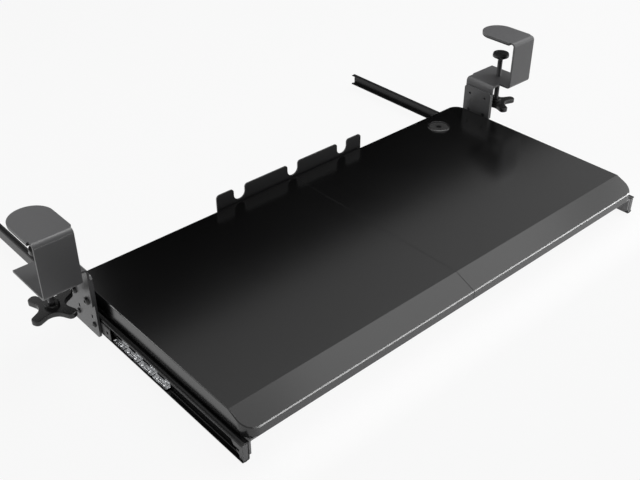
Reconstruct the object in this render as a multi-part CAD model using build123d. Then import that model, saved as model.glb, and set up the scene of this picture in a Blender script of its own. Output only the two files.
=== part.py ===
from build123d import *
import math
import os

# A clamp-on keyboard tray that slides out from under a desk, pulled right out.
# Millimetres. X runs across the desk, Y from the sitter towards the desk, Z up.
# The origin is midway between the clamps, on the desk's front edge and on its top face.

# Tray board
tray_width = 700.0
tray_depth = 336.0
board_thickness = 25.4
tray_drop = 116.0
tray_overhang = 257.5
slope_run = 30.4
slope_drop = 13.0
corner_radius = 18.0
edge_break = 1.0
seam_gap = 0.3

# Joint between the two halves of the board
dowel_diameter = 8.0
dowel_length = 40.0
dowel_end_gap = 1.0
dowel_depth_shares = (0.22, 0.5, 0.78)
splice_length = 120.0
splice_width = 32.0
splice_thickness = 2.5
splice_corner = 5.0
splice_depth_shares = (0.36,)
splice_screw_shares = (-0.4, -0.16, 0.16, 0.4)

# Rear rail with cable notches
rail_width = 268.0
rail_thickness = 2.0
rail_rise = 22.0
rail_gap = 2.0
rail_foot = 26.0
rail_bend = 1.5
rail_corner = 5.5
notch_count = 3
notch_margin = 38.5
notch_width = 19.2
notch_floor = 3.0
notch_lip = 4.5
notch_round_share = 0.98
rail_screw_shares = (-0.4, -0.15, 0.15, 0.4)

# Cable grommet
grommet_inset = 80.7
grommet_setback = 34.7
grommet_flange = 1.3
grommet_rise = 2.0
grommet_chamfer = 1.0
grommet_wall = 1.5
grommet_sleeve = 16.0
grommet_ledge = 1.6
membrane_diameter = 29.4
membrane_thickness = 1.2
membrane_sink = 1.4
cable_hole = 8.2
slit_count = 12
slit_width = 0.6
slit_start_share = 0.15
slit_reach_share = 0.87

# Screws and rivets
wood_screw = 4.0
wood_screw_length = 14.0
wood_screw_head = 8.0
wood_screw_head_height = 2.0
rivet = 4.0
rivet_head = 6.4
rivet_head_height = 0.5
rivet_tail_height = 1.4
foot_screw = 4.0
foot_screw_head = 7.4
foot_screw_head_height = 2.2
foot_screw_stand_out = 1.6
hanger_screw = 6.0
hanger_screw_head = 10.6
hanger_screw_head_height = 3.2
hanger_screw_crown = 1.4
close_fit = 0.05

# Sides of the round pieces that have flat sides, which keep the facets few
ring_sides = 20
shown_sides = 8
hidden_sides = 6

# Steel angle under each side of the board
angle_thickness = 2.5
angle_height = 23.5
angle_foot = 22.0
angle_bend = 1.2
angle_setback = 2.0
angle_length = 320.0
angle_corner = 3.0
angle_screw_shares = (0.08, 0.5, 0.92)
rivet_shares = (0.12, 0.5, 0.88)

# Ball-bearing slide
slide_height = 27.0
slide_depth = 10.0
slide_inset = 2.9
slide_gap = 0.5
channel_sheet = 1.2
channel_bend = 2.0
channel_lip = 1.0
channel_lip_bend = 1.6
channel_length = 330.0
channel_setback = 1.8
inner_sheet = 1.3
inner_bend = 1.8
inner_tip = 2.8
inner_length = 330.0
inner_lead = 22.0
inner_hole = 4.6
inner_hole_setback = 7.0
ball_diameter = 3.97
ball_play = 0.1
ball_flats_share = 0.7071
ball_line = 5.2
race_depth = 0.6

# Ball cage
cage_sheet = 0.6
cage_web = 1.9
cage_tip = 8.2
cage_tail_gap = 10.8
cage_length = 180.0
cage_segments = 6
cage_slit = 1.6
cage_slit_inset = 1.1
cage_pocket_play = 0.25
cage_window_length = 15.0
cage_window_height = 15.0
cage_window_shift = 3.5
ball_shares = (0.25, 0.75)

# End stop in the front of each channel
stop_length = 21.0
stop_face = 6.5
stop_side_play = 0.3
stop_arm_height_share = 0.42
stop_arm_tip_share = 0.65
stop_lug_length = 6.0
stop_slot = 3.4
stop_lug_height = 4.6
stop_clearance = 0.7

# Desk clamp
clamp_step = 38.5
clamp_sheet = 3.0
clamp_bend = 3.0
clamp_width = 48.0
tongue_width = 53.0
tongue_reach = 73.5
tongue_shoulder = 7.0
jaw_pad_thickness = 2.0
jaw_pad_inset = 0.4
jaw_opening = 67.5
jaw_reach = 72.0
flange_width = 53.0
flange_front = 17.0
flange_drop = 61.0
flange_chamfer_run = 12.0
flange_chamfer_rise = 9.0
hanger_play = 0.9

# Hanger plate between each clamp and its slide
hanger_sheet = 3.0
hanger_top_gap = 8.8
hanger_bottom_gap = 3.0
hanger_corner = 5.0
hanger_foot_length = 96.0
hanger_foot_height = 25.0
hanger_gusset_run = 20.0
hanger_gusset_rise = 24.0
hanger_screw_pitch = 30.0
hanger_screw_rise = 12.5
rack_hole = 4.4
rack_hole_drop = 11.4
slot_width = 3.0
slot_height = 5.0
slot_rise = 11.0
foot_screw_pitch = 36.2
foot_screw_inset = 9.3
foot_screw_count = 3

# Clamp screw, knob and pressure pad
screw_line = 39.0
screw_diameter = 8.0
desk_thickness = 28.5
nut_flats = 13.0
nut_height = 6.5
nut_sides = 6
screw_length = 79.5
knob_thickness = 7.0
knob_reach = 33.0
knob_lobe_width = 12.5
knob_lobe_round_share = 0.9
knob_valley = 11.0
knob_valley_round = 13.0
knob_lobes = 4
knob_turn = 24.0
knob_hub = 18.0
knob_hub_height = 4.0
pad_diameter = 26.0
pad_plate = 4.0
pad_boss = 12.0
pad_boss_height = 4.0
pad_rubber = 2.0
pad_rubber_inset = 0.6
tip_diameter = 5.0
tip_length = 4.0
tip_end_gap = 0.5
tip_play = 0.08

# Overrun of every cutting tool past the face it cuts
overrun = 2.0

# Places worked out from the sizes above
half_width = tray_width / 2
lip_y = -tray_overhang
back_y = lip_y + tray_depth
fold_y = lip_y + slope_run
top_z = -tray_drop
under_z = top_z - board_thickness
slide_back_x = half_width - slide_inset
slide_face_x = slide_back_x + slide_depth
slide_z = under_z - slide_gap - slide_height / 2
channel_front = lip_y + channel_setback
channel_flange = slide_height / 2 - race_depth
ball_radius = ball_diameter / 2
race_radius = ball_radius + ball_play
ball_z = slide_height / 2 - channel_sheet - race_radius
inner_flange = ball_z - race_radius + race_depth
inner_front = flange_front - inner_lead
cage_segment = cage_length / cage_segments
cage_front = channel_front + channel_length - cage_tail_gap - cage_length
hanger_x = slide_face_x + hanger_play
flange_x = hanger_x + hanger_sheet
flange_face_x = flange_x + clamp_sheet
flange_back = flange_front + flange_width
flange_mid = flange_front + flange_width / 2
clamp_x = flange_face_x + clamp_step
tongue_top = jaw_pad_thickness + clamp_sheet
jaw_top = -jaw_opening
jaw_under = jaw_top - clamp_sheet
flange_bottom = jaw_under - flange_drop
hanger_top = jaw_under - hanger_top_gap
hanger_bottom = slide_z - slide_height / 2 - hanger_bottom_gap
hanger_screw_z = flange_bottom + hanger_screw_rise
pad_top = -desk_thickness
boss_foot = pad_top - pad_rubber - pad_plate - pad_boss_height
screw_foot = boss_foot - close_fit - screw_length
knob_top = screw_foot + knob_thickness
grommet_x = half_width - grommet_inset
grommet_y = back_y - grommet_setback
sleeve_radius = membrane_diameter / 2 + grommet_wall
tray_travel = inner_front - channel_front - stop_length - stop_clearance
notch_pitch = (rail_width - 2 * notch_margin) / (notch_count - 1)
angle_front = lip_y + angle_setback
screwed_length = min(angle_front + angle_length, back_y) - angle_front
riveted_front = max(angle_front, channel_front)
riveted_length = min(angle_front + angle_length, channel_front + channel_length) - riveted_front


def outline(points, radii=0):
    """A closed face through the points, each corner rounded by its radius."""
    return make_face(FilletPolyline(*points, radius=radii, close=True))


def along_x(face, start, length):
    """A face drawn in Y and Z, drawn out along X."""
    return extrude(Plane.YZ.offset(start) * face, amount=length)


def along_y(face, start, length):
    """A face drawn in X and Z, drawn out along Y."""
    return extrude(Plane.XZ.offset(-start) * face, amount=-length)


def along_z(face, start, length):
    """A face drawn in X and Y, drawn out along Z."""
    return extrude(Plane.XY.offset(start) * face, amount=length)


def rod(x, y, z, radius, length, axis="Z", sides=0):
    """A round bar, or one with flat sides, that starts at a point and runs along +X or +Z."""
    face = RegularPolygon(radius, sides) if sides else Circle(radius)
    if axis == "X":
        return along_x(Pos(y, z) * face, x, length)
    return along_z(Pos(x, y) * face, z, length)


def bore(x, y, z, radius, length):
    """A flat-sided tool for a hole along +Z, whose flats touch a circle of that radius."""
    face = RegularPolygon(radius, shown_sides, major_radius=False)
    return along_z(Pos(x, y) * face, z, length)


def joined(solids):
    """Separate solids kept together as one group."""
    return Compound(children=list(solids))


def centred(count, pitch):
    """Places spread evenly about zero."""
    return [(i - (count - 1) / 2) * pitch for i in range(count)]


# Places of the fasteners, each used for the holes and for what goes through them


def dowel_places():
    return [lip_y + share * tray_depth for share in dowel_depth_shares]


def splice_rows():
    return [lip_y + share * tray_depth for share in splice_depth_shares]


def splice_screw_places():
    return [(share * splice_length, y) for y in splice_rows() for share in splice_screw_shares]


def rail_screw_places():
    y = back_y + rail_gap - rail_foot / 2
    return [(share * rail_width, y) for share in rail_screw_shares]


def angle_screw_places():
    x = slide_back_x - angle_thickness - (angle_foot - angle_thickness) / 2
    return [(x, angle_front + share * screwed_length) for share in angle_screw_shares]


def rivet_places():
    return [riveted_front + share * riveted_length for share in rivet_shares]


def foot_screw_places():
    first = flange_front + foot_screw_inset
    return [first + i * foot_screw_pitch for i in range(foot_screw_count)]


def hanger_screw_places():
    return [flange_mid + y for y in centred(2, hanger_screw_pitch)]


# Board


def board_blank():
    """The right half of the board: a rounded slab with its front sloped down to the lip."""
    plan = outline(
        [(seam_gap / 2, lip_y), (half_width, lip_y), (half_width, back_y), (seam_gap / 2, back_y)],
        [0, corner_radius, corner_radius, 0],
    )
    slab = along_z(plan, under_z, board_thickness)
    fall = slope_drop / slope_run
    wedge = outline(
        [
            (lip_y - overrun, top_z - slope_drop - overrun * fall),
            (fold_y, top_z),
            (fold_y, top_z + overrun),
            (lip_y - overrun, top_z + overrun),
        ]
    )
    slab = slab - along_x(wedge, -overrun, half_width + 2 * overrun)
    return chamfer(rim_edges(slab), edge_break)


def rim_edges(slab):
    """The edges round the top of a half board, without the seam's and the fold's."""
    lowest = top_z - slope_drop
    rim = slab.edges().filter_by(lambda e: e.center().Z >= lowest - edge_break)
    rim = rim.filter_by(lambda e: e.center().X > seam_gap)
    return rim.filter_by(lambda e: not is_upright(e) and not is_fold(e))


def is_upright(edge):
    """True for an edge that runs straight up the side of the board."""
    size = edge.bounding_box().size
    return max(size.X, size.Y) < edge_break


def is_fold(edge):
    """True for the line where the flat top meets the slope."""
    box = edge.bounding_box()
    return abs(edge.center().Y - fold_y) < edge_break and box.size.X > corner_radius


def wood_pilots(places):
    """Pilot holes in the underside of the board."""
    radius = wood_screw / 2 + close_fit
    depth = wood_screw_length + close_fit
    start = under_z - overrun
    return [rod(x, y, start, radius, depth + overrun, sides=hidden_sides) for x, y in places]


def dowel_sockets(sign):
    """Blind holes for the dowels, on one side of the seam."""
    radius = dowel_diameter / 2 + close_fit
    depth = dowel_length / 2 + dowel_end_gap
    start = 0 if sign > 0 else -depth
    z = top_z - board_thickness / 2
    return [rod(start, y, z, radius, depth, "X", hidden_sides) for y in dowel_places()]


def board(side):
    """One half of the board, drilled for its dowels and screws."""
    sign = 1 if side == "right" else -1
    half = board_blank()
    if side == "left":
        half = mirror(half, about=Plane.YZ)
    places = splice_screw_places() + rail_screw_places()
    places = [(x, y) for x, y in places if x * sign > wood_screw]
    places += [(sign * x, y) for x, y in angle_screw_places()]
    tools = wood_pilots(places) + dowel_sockets(sign)
    if side == "right":
        radius = sleeve_radius + close_fit
        depth = board_thickness + 2 * overrun
        tools.append(rod(grommet_x, grommet_y, under_z - overrun, radius, depth, sides=ring_sides))
    for tool in tools:
        half = half - tool
    return half


def wood_screws(places, seat_z):
    """Screws driven up from a seat into the board."""
    screws = []
    height = wood_screw_head_height
    length = under_z + wood_screw_length - seat_z
    for x, y in places:
        shank = rod(x, y, seat_z, wood_screw / 2, length, sides=hidden_sides)
        head = rod(x, y, seat_z - height, wood_screw_head / 2, height, sides=hidden_sides)
        screws.append(head + shank)
    return joined(screws)


def clearance_holes(places, z, thickness):
    radius = wood_screw / 2 + close_fit
    length = thickness + 2 * overrun
    return [rod(x, y, z - overrun, radius, length, sides=hidden_sides) for x, y in places]


def seam_dowels():
    z = top_z - board_thickness / 2
    start = -dowel_length / 2
    radius = dowel_diameter / 2
    dowels = [rod(start, y, z, radius, dowel_length, "X", hidden_sides) for y in dowel_places()]
    return joined(dowels)


def splice_plates():
    plates = []
    z = under_z - splice_thickness
    plan = Rectangle(splice_length, splice_width)
    plan = chamfer(plan.vertices(), splice_corner)
    for row in splice_rows():
        plate = along_z(Pos(0, row) * plan, z, splice_thickness)
        places = [(x, y) for x, y in splice_screw_places() if y == row]
        for tool in clearance_holes(places, z, splice_thickness):
            plate = plate - tool
        plates.append(plate)
    return joined(plates)


# Rear rail


def rail_places():
    """Corner points and radii of the rail's upright, with its round-bottomed notches."""
    edge = rail_width / 2
    crest = top_z + rail_rise
    floor = top_z + notch_floor
    foot = under_z - rail_thickness
    points = [(-edge, foot), (-edge, crest)]
    radii = [0, rail_corner]
    for x in centred(notch_count, notch_pitch):
        half = notch_width / 2
        points += [(x - half, crest), (x - half, floor), (x + half, floor), (x + half, crest)]
        radii += [notch_lip, half * notch_round_share, half * notch_round_share, notch_lip]
    points += [(edge, crest), (edge, foot)]
    radii += [rail_corner, 0]
    return points, radii


def rear_rail():
    """The upright behind the board, bent forward under it into a screwed foot."""
    face_y = back_y + rail_gap
    outer = face_y + rail_thickness
    foot = under_z - rail_thickness
    crest = top_z + rail_rise
    section = outline(
        [
            (face_y - rail_foot, foot),
            (outer, foot),
            (outer, crest + overrun),
            (face_y, crest + overrun),
            (face_y, under_z),
            (face_y - rail_foot, under_z),
        ],
        [0, rail_bend + rail_thickness, 0, 0, rail_bend, 0],
    )
    strip = along_x(section, -rail_width / 2, rail_width)
    points, radii = rail_places()
    depth = rail_foot + rail_thickness + 2 * overrun
    rail = strip & along_y(outline(points, radii), face_y - rail_foot - overrun, depth)
    for tool in clearance_holes(rail_screw_places(), foot, rail_thickness):
        rail = rail - tool
    return rail


# Cable grommet


def grommet_ring():
    """A round collar with a raised rim, a sleeve down the hole and a ledge for the membrane."""
    sleeve = sleeve_radius
    rim = sleeve + grommet_flange
    opening = membrane_diameter / 2
    crest = top_z + grommet_rise
    seat = crest - membrane_sink - membrane_thickness
    foot = top_z - grommet_sleeve
    collar = rod(0, 0, top_z, rim, grommet_rise, sides=ring_sides)
    collar = chamfer(collar.edges().group_by(Axis.Z)[-1], grommet_chamfer)
    ring = collar + rod(0, 0, foot, sleeve, grommet_sleeve, sides=ring_sides)
    depth = seat - foot + 2 * overrun
    ring = ring - rod(0, 0, foot - overrun, opening - grommet_ledge, depth, sides=ring_sides)
    ring = ring - rod(0, 0, seat, opening, grommet_rise + overrun, sides=ring_sides)
    return Pos(grommet_x, grommet_y) * ring


def grommet_membrane():
    """A rubber disc with a centre hole and slits that make flaps."""
    crest = top_z + grommet_rise
    radius = membrane_diameter / 2 - close_fit
    membrane = RegularPolygon(radius, ring_sides) - RegularPolygon(cable_hole / 2, shown_sides)
    start = radius * slit_start_share
    reach = radius * slit_reach_share
    slit = Pos((start + reach) / 2, 0) * Rectangle(reach - start, slit_width)
    for i in range(slit_count):
        membrane = membrane - Rot(0, 0, i * 360 / slit_count) * slit
    z = crest - membrane_sink - membrane_thickness
    return Pos(grommet_x, grommet_y) * along_z(membrane, z, membrane_thickness)


# Steel angle under each side


def side_angle():
    outer = slide_back_x
    inner = outer - angle_thickness
    tip = outer - angle_foot
    shelf = under_z - angle_thickness
    section = outline(
        [
            (outer, under_z),
            (tip, under_z),
            (tip, shelf),
            (inner, shelf),
            (inner, under_z - angle_height),
            (outer, under_z - angle_height),
        ],
        [angle_bend + angle_thickness, 0, 0, angle_bend, 0, 0],
    )
    bar = along_y(section, angle_front, angle_length)
    for tool in clearance_holes(angle_screw_places(), shelf, angle_thickness):
        bar = bar - tool
    for tool in rivet_holes():
        bar = bar - tool
    ends = bar.edges().filter_by(Axis.X).group_by(Axis.Z)[0]
    return chamfer(ends, angle_corner)


def rivet_holes():
    start = slide_back_x - angle_thickness - overrun
    length = angle_thickness + channel_sheet + 2 * overrun
    radius = rivet / 2 + close_fit
    return [rod(start, y, slide_z, radius, length, "X", hidden_sides) for y in rivet_places()]


def channel_rivets():
    """Flush-headed rivets that hold the channel to the angle."""
    rivets = []
    inside = slide_back_x + channel_sheet
    outside = slide_back_x - angle_thickness
    end = outside - rivet_tail_height
    for y in rivet_places():
        shank = rod(outside, y, slide_z, rivet / 2, inside - outside, "X", hidden_sides)
        head = rod(inside, y, slide_z, rivet_head / 2, rivet_head_height, "X", hidden_sides)
        tail = rod(end, y, slide_z, rivet_head / 2, rivet_tail_height, "X", hidden_sides)
        rivets.append(head + shank + tail)
    return joined(rivets)


# Ball-bearing slide


def both_flanges(upper, radii):
    """A slide member's section, from the half above the slide's centreline."""
    lower = [(x, 2 * slide_z - z) for x, z in reversed(upper)]
    return outline(upper + lower, radii + radii[::-1])


def band(sign, low, high):
    """A wide strip across the slide's section, between two heights from its centreline."""
    centre = Pos(slide_back_x, slide_z + sign * (low + high) / 2)
    return centre * Rectangle(2 * (slide_depth + overrun), high - low)


def with_races(section, sheet, low, high):
    """The section with a round race rolled into each flange, and the ridge it leaves behind."""
    for sign in (1, -1):
        centre = Pos(slide_back_x + ball_line, slide_z + sign * ball_z)
        ridge = centre * Circle(race_radius + sheet) & band(sign, low, high)
        section = section + ridge - centre * Circle(race_radius)
    return section


def slide_channel():
    """The wide member: a channel open to the outside, with lips that keep the balls in."""
    wall = channel_flange - channel_sheet
    back = slide_back_x
    face = slide_face_x
    lip_x = face - channel_sheet
    upper = [
        (back, slide_z + channel_flange),
        (face, slide_z + channel_flange),
        (face, slide_z + wall - channel_lip),
        (lip_x, slide_z + wall - channel_lip),
        (lip_x, slide_z + wall),
        (back + channel_sheet, slide_z + wall),
    ]
    section = both_flanges(upper, [channel_bend, channel_lip_bend, 0, 0, 0, 0])
    section = with_races(section, channel_sheet, channel_flange, slide_height)
    channel = along_y(section, channel_front, channel_length)
    for tool in rivet_holes():
        channel = channel - tool
    return channel


def slide_inner():
    """The narrow member: fixed to the hanger, with a race for the balls on both edges."""
    face = hanger_x
    tip = slide_back_x + inner_tip
    upper = [
        (face, slide_z + inner_flange),
        (tip, slide_z + inner_flange),
        (tip, slide_z + inner_flange - inner_sheet),
        (face - inner_sheet, slide_z + inner_flange - inner_sheet),
    ]
    section = both_flanges(upper, [inner_bend, 0, 0, 0])
    section = with_races(section, inner_sheet, 0, inner_flange - inner_sheet)
    rail = along_y(section, inner_front, inner_length)
    reach = inner_sheet + 2 * overrun
    start = face - inner_sheet - overrun
    hole_y = inner_front + inner_hole_setback
    rail = rail - rod(start, hole_y, slide_z, inner_hole / 2, reach, "X", shown_sides)
    radius = foot_screw / 2 + close_fit
    for y in foot_screw_places():
        rail = rail - rod(start, y, slide_z, radius, reach, "X", hidden_sides)
    return rail


def ball_places():
    """The centre of every ball, along the cage and on both races."""
    x = slide_back_x + ball_line
    places = []
    for i in range(cage_segments):
        for share in ball_shares:
            y = cage_front + (i + share) * cage_segment
            places += [(x, y, slide_z + ball_z), (x, y, slide_z - ball_z)]
    return places


def ball_cage():
    """A bent strip that carries the balls: windows in its web, slits and pockets in its edges."""
    web = slide_back_x + cage_web
    tip = slide_back_x + cage_tip
    half = ball_z + cage_sheet / 2
    upper = [
        (web, slide_z + half),
        (tip, slide_z + half),
        (tip, slide_z + half - cage_sheet),
        (web + cage_sheet, slide_z + half - cage_sheet),
    ]
    section = both_flanges(upper, [0, 0, 0, 0])
    cage = along_y(section, cage_front + cage_slit / 2, cage_length - cage_slit)
    width = ball_diameter + 2 * cage_pocket_play
    pocket = Rectangle(width, width)
    for x, y, z in ball_places():
        if z > slide_z:
            cage = cage - along_z(Pos(x, y) * pocket, slide_z - half - overrun, 2 * half + 2 * overrun)
    window = Rectangle(cage_window_length, cage_window_height)
    slit_x = web + cage_slit_inset
    for i in range(cage_segments):
        y = cage_front + (i + 0.5) * cage_segment + cage_window_shift
        cage = cage - along_x(Pos(y, slide_z) * window, web - overrun, cage_sheet + 2 * overrun)
        if i > 0:
            gap = Pos((slit_x + tip + overrun) / 2, cage_front + i * cage_segment)
            slot = gap * Rectangle(tip + overrun - slit_x, cage_slit)
            cage = cage - along_z(slot, slide_z - half - overrun, 2 * half + 2 * overrun)
    return cage


def slide_balls():
    """The balls, each a twelve-sided solid whose outermost corners lie on the real ball."""
    side = ball_diameter * ball_flats_share
    bar = Rot(45, 0, 0) * Box(ball_diameter + overrun, side, side)
    ball = bar & Rot(0, 0, 90) * bar & Rot(0, 90, 0) * bar
    return joined([Pos(x, y, z) * ball for x, y, z in ball_places()])


def end_stop():
    """A plastic stop that closes the front of the channel, with a hooked arm behind it."""
    half = channel_flange - channel_sheet - stop_side_play
    top = slide_z + half
    base = slide_z - half
    height = top - base
    front = channel_front
    face = front + stop_face
    rear = front + stop_length
    arm = top - height * stop_arm_height_share
    arm_tip = face + (stop_length - stop_face) * stop_arm_tip_share
    lug = arm - stop_slot
    profile = outline(
        [
            (front, base),
            (front, top),
            (rear, top),
            (arm_tip, arm),
            (face, arm),
            (face, lug),
            (face + stop_lug_length, lug),
            (face, lug - stop_lug_height),
            (face, base),
        ]
    )
    start = slide_back_x + channel_sheet + stop_side_play
    return along_x(profile, start, slide_depth - 2 * channel_sheet - 2 * stop_side_play)


# Hanger plate


def hanger_plate():
    """A flat plate with a long foot along the slide and a sloping gusset above it."""
    toe = flange_front + hanger_foot_length
    knee = hanger_bottom + hanger_foot_height
    profile = outline(
        [
            (flange_front, hanger_bottom),
            (flange_front, hanger_top),
            (flange_back, hanger_top),
            (flange_back, knee + hanger_gusset_rise),
            (flange_back + hanger_gusset_run, knee),
            (toe, knee),
            (toe, hanger_bottom),
        ],
        hanger_corner,
    )
    plate = along_x(profile, hanger_x, hanger_sheet)
    start = hanger_x - overrun
    reach = hanger_sheet + 2 * overrun
    slot = Rectangle(slot_width, slot_height)
    rack_z = hanger_top - rack_hole_drop
    radius = hanger_screw / 2 + close_fit
    for y in hanger_screw_places():
        plate = plate - rod(start, y, hanger_screw_z, radius, reach, "X", hidden_sides)
        plate = plate - rod(start, y, rack_z, rack_hole / 2, reach, "X", shown_sides)
        plate = plate - along_x(Pos(y, slide_z + slot_rise) * slot, start, reach)
    radius = foot_screw / 2 + close_fit
    for y in foot_screw_places():
        plate = plate - rod(start, y, slide_z, radius, reach, "X", hidden_sides)
    return plate


def foot_screws():
    """Screws through the hanger's foot into the narrow slide member."""
    seat = hanger_x + hanger_sheet
    start = hanger_x - inner_sheet - foot_screw_stand_out
    screws = []
    radius = foot_screw_head / 2
    for y in foot_screw_places():
        shank = rod(start, y, slide_z, foot_screw / 2, seat - start, "X", hidden_sides)
        head = rod(seat, y, slide_z, radius, foot_screw_head_height, "X", shown_sides)
        screws.append(head + shank)
    return joined(screws)


def hanger_screws():
    """Button-headed screws through the clamp's flange, tapped into the hanger."""
    screws = []
    radius = hanger_screw_head / 2
    height = hanger_screw_head_height
    length = flange_face_x - hanger_x
    for y in hanger_screw_places():
        shank = rod(hanger_x, y, hanger_screw_z, hanger_screw / 2, length, "X", hidden_sides)
        head = rod(flange_face_x, y, hanger_screw_z, radius, height, "X", shown_sides)
        crown = head.edges().group_by(Axis.X)[-1]
        screws.append(chamfer(crown, hanger_screw_crown) + shank)
    return joined(screws)


# Desk clamp


def tongue_plan(width, shoulder, reach):
    """The tongue from above: straight sides and a half-round end."""
    radius = width / 2
    straight = reach - radius - shoulder
    plan = Pos(0, shoulder + straight / 2) * Rectangle(width, straight)
    return plan + Pos(0, reach - radius) * Circle(radius)


def clamp_body():
    """A bent strip: tongue over the desk, front plate, lower jaw, and a flange down to the hanger."""
    bend = clamp_bend + clamp_sheet
    neck = tongue_reach - tongue_width / 2
    hook = outline(
        [
            (neck, tongue_top),
            (-clamp_sheet, tongue_top),
            (-clamp_sheet, jaw_under),
            (jaw_reach, jaw_under),
            (jaw_reach, jaw_top),
            (0, jaw_top),
            (0, jaw_pad_thickness),
            (neck, jaw_pad_thickness),
        ],
        [0, bend, bend, 0, 0, clamp_bend, clamp_bend, 0],
    )
    strip = along_x(hook, clamp_x - clamp_width / 2, clamp_width)
    plan = Pos(clamp_x, 0) * tongue_plan(tongue_width, tongue_shoulder, tongue_reach)
    tongue = along_z(plan, jaw_pad_thickness, clamp_sheet)
    shelf = outline(
        [
            (clamp_x, jaw_top),
            (flange_x, jaw_top),
            (flange_x, flange_bottom),
            (flange_face_x, flange_bottom),
            (flange_face_x, jaw_under),
            (clamp_x, jaw_under),
        ],
        [0, bend, 0, 0, clamp_bend, 0],
    )
    flange = along_y(shelf, flange_front, flange_width)
    trim = outline(
        [
            (flange_front - overrun, flange_bottom - overrun),
            (flange_front - overrun, flange_bottom + flange_chamfer_rise),
            (flange_front, flange_bottom + flange_chamfer_rise),
            (flange_front + flange_chamfer_run, flange_bottom),
            (flange_front + flange_chamfer_run, flange_bottom - overrun),
        ]
    )
    flange = flange - along_x(trim, flange_x - overrun, clamp_sheet + 2 * overrun)
    body = strip + tongue + flange
    reach = clamp_sheet + 2 * overrun
    body = body - bore(clamp_x, screw_line, jaw_under - overrun, screw_diameter / 2 + close_fit, reach)
    radius = hanger_screw / 2 + close_fit
    for y in hanger_screw_places():
        body = body - rod(flange_x - overrun, y, hanger_screw_z, radius, reach, "X", hidden_sides)
    return body


def jaw_pad():
    """The thin rubber pad under the tongue."""
    width = tongue_width - 2 * jaw_pad_inset
    plan = tongue_plan(width, tongue_shoulder + jaw_pad_inset, tongue_reach - jaw_pad_inset)
    return along_z(Pos(clamp_x, 0) * plan, 0, jaw_pad_thickness)


def clamp_nut():
    """The hexagon nut welded under the lower jaw."""
    nut = RegularPolygon(nut_flats / 2, nut_sides, major_radius=False)
    nut = along_z(Pos(clamp_x, screw_line) * nut, jaw_under - nut_height, nut_height)
    start = jaw_under - nut_height - overrun
    length = nut_height + 2 * overrun
    return nut - bore(clamp_x, screw_line, start, screw_diameter / 2 + close_fit, length)


def clamp_screw():
    """The clamp screw, from inside the knob up to its turned tip in the pad."""
    shank = rod(clamp_x, screw_line, screw_foot, screw_diameter / 2, screw_length)
    shoulder = screw_foot + screw_length
    return shank + rod(clamp_x, screw_line, shoulder, tip_diameter / 2, tip_length, sides=shown_sides)


def knob_plan():
    """A star with rounded lobes and hollow sides, from one lobe's sizes."""
    points = []
    radii = []
    half = knob_lobe_width / 2
    for i in range(knob_lobes):
        turn = math.radians(i * 360 / knob_lobes)
        valley = math.radians((i + 0.5) * 360 / knob_lobes)
        ahead = (math.cos(turn), math.sin(turn))
        aside = (-math.sin(turn), math.cos(turn))
        for side in (-half, half):
            points.append(tuple(knob_reach * a + side * b for a, b in zip(ahead, aside)))
            radii.append(half * knob_lobe_round_share)
        points.append((knob_valley * math.cos(valley), knob_valley * math.sin(valley)))
        radii.append(knob_valley_round)
    return outline(points, radii)


def clamp_knob():
    """The moulded knob with its hub, bored for the screw."""
    star = along_z(knob_plan(), screw_foot, knob_thickness)
    star = star + rod(0, 0, knob_top, knob_hub / 2, knob_hub_height, sides=shown_sides)
    length = knob_thickness + knob_hub_height + 2 * overrun
    star = star - bore(0, 0, screw_foot - overrun, screw_diameter / 2 + close_fit, length)
    return Pos(clamp_x, screw_line) * (Rot(0, 0, -knob_turn) * star)


def clamp_pad():
    """The pressure plate with the boss that turns on the screw's tip."""
    seat = boss_foot + pad_boss_height
    plate = rod(clamp_x, screw_line, seat, pad_diameter / 2, pad_plate, sides=ring_sides)
    boss = rod(clamp_x, screw_line, boss_foot, pad_boss / 2, pad_boss_height, sides=shown_sides)
    depth = tip_length + tip_end_gap
    return plate + boss - bore(clamp_x, screw_line, boss_foot, tip_diameter / 2 + tip_play, depth)


def pad_rubber_disc():
    radius = pad_diameter / 2 - pad_rubber_inset
    return rod(clamp_x, screw_line, pad_top - pad_rubber, radius, pad_rubber, sides=ring_sides)


def write(name, shape):
    export_step(shape, "parts/" + name + ".step")


def main():
    os.makedirs("parts", exist_ok=True)
    write("board_left", board("left"))
    write("board_right", board("right"))
    write("seam_dowels", seam_dowels())
    write("splice_plates", splice_plates())
    write("splice_screws", wood_screws(splice_screw_places(), under_z - splice_thickness))
    write("rear_rail", rear_rail())
    write("rear_rail_screws", wood_screws(rail_screw_places(), under_z - rail_thickness))
    write("grommet_ring", grommet_ring())
    write("grommet_membrane", grommet_membrane())
    pieces = {
        "side_angle": side_angle,
        "angle_screws": lambda: wood_screws(angle_screw_places(), under_z - angle_thickness),
        "channel_rivets": channel_rivets,
        "slide_channel": slide_channel,
        "end_stop": end_stop,
        "ball_cage": ball_cage,
        "slide_balls": slide_balls,
        "slide_inner": slide_inner,
        "hanger_plate": hanger_plate,
        "foot_screws": foot_screws,
        "hanger_screws": hanger_screws,
        "clamp_body": clamp_body,
        "jaw_pad": jaw_pad,
        "clamp_nut": clamp_nut,
        "clamp_screw": clamp_screw,
        "clamp_knob": clamp_knob,
        "clamp_pad": clamp_pad,
        "pad_rubber": pad_rubber_disc,
    }
    for name, make in pieces.items():
        shape = make()
        write("right_" + name, shape)
        write("left_" + name, mirror(shape, about=Plane.YZ))
    print("travel of the tray", round(tray_travel, 2))


main()
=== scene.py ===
"""Looks of a clamp-on keyboard tray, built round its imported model. Lengths are in metres."""

import math

import bmesh
import bpy
from bpy.props import FloatProperty, FloatVectorProperty, IntProperty, PointerProperty
from mathutils import Matrix, Vector


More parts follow.
